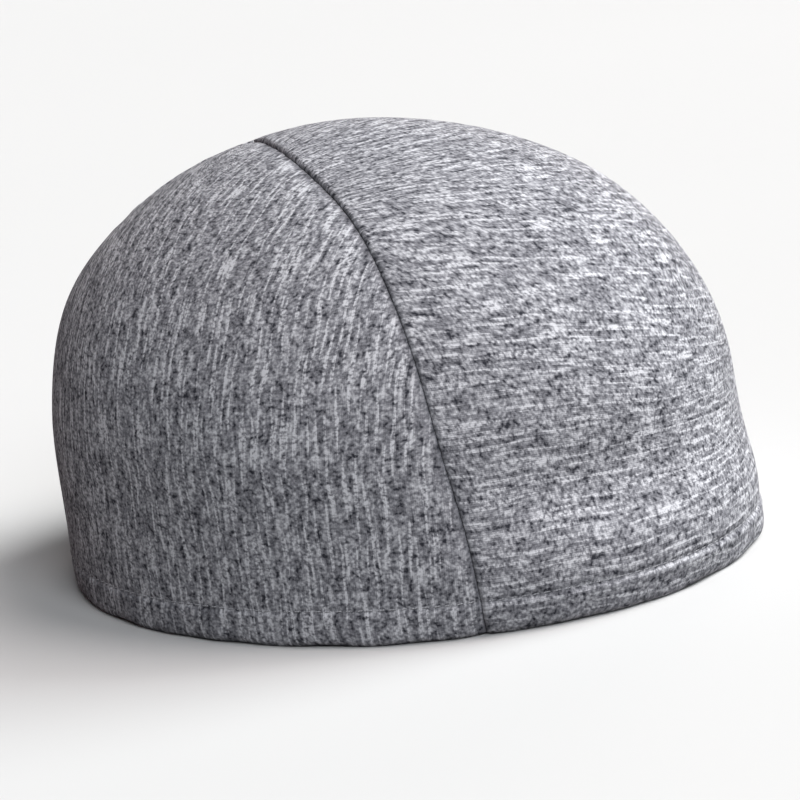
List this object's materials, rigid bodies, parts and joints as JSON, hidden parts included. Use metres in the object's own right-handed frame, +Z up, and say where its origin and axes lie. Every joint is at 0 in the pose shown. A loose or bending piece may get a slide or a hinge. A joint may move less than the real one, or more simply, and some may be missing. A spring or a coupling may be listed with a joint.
{
  "type": "helmet liner cap",
  "caption": "Close-fitting knitted liner cap: domed, sewn from four shaped panels whose seams cross behind the top, with a turned hem.",
  "frame": {"origin": "middle of the cap's outer box, on the plane of the hem that it stands on", "axes": "+Z up, -Y towards the forehead, +X towards the wearer's left"},
  "size_m": [0.1592, 0.189, 0.111],
  "materials": {
    "marl_knit_crosswise": "matt marled grey stretch knit, streaks running crosswise",
    "marl_knit_lengthwise": "matt marled grey stretch knit, streaks running up the cap",
    "seam_thread": "dark grey sewing thread"
  },
  "bodies": {
    "root": {"front_panel": "marl_knit_crosswise", "back_panel": "marl_knit_crosswise", "left_side_panel": "marl_knit_lengthwise", "right_side_panel": "marl_knit_lengthwise"}
  },
  "joints": []
}
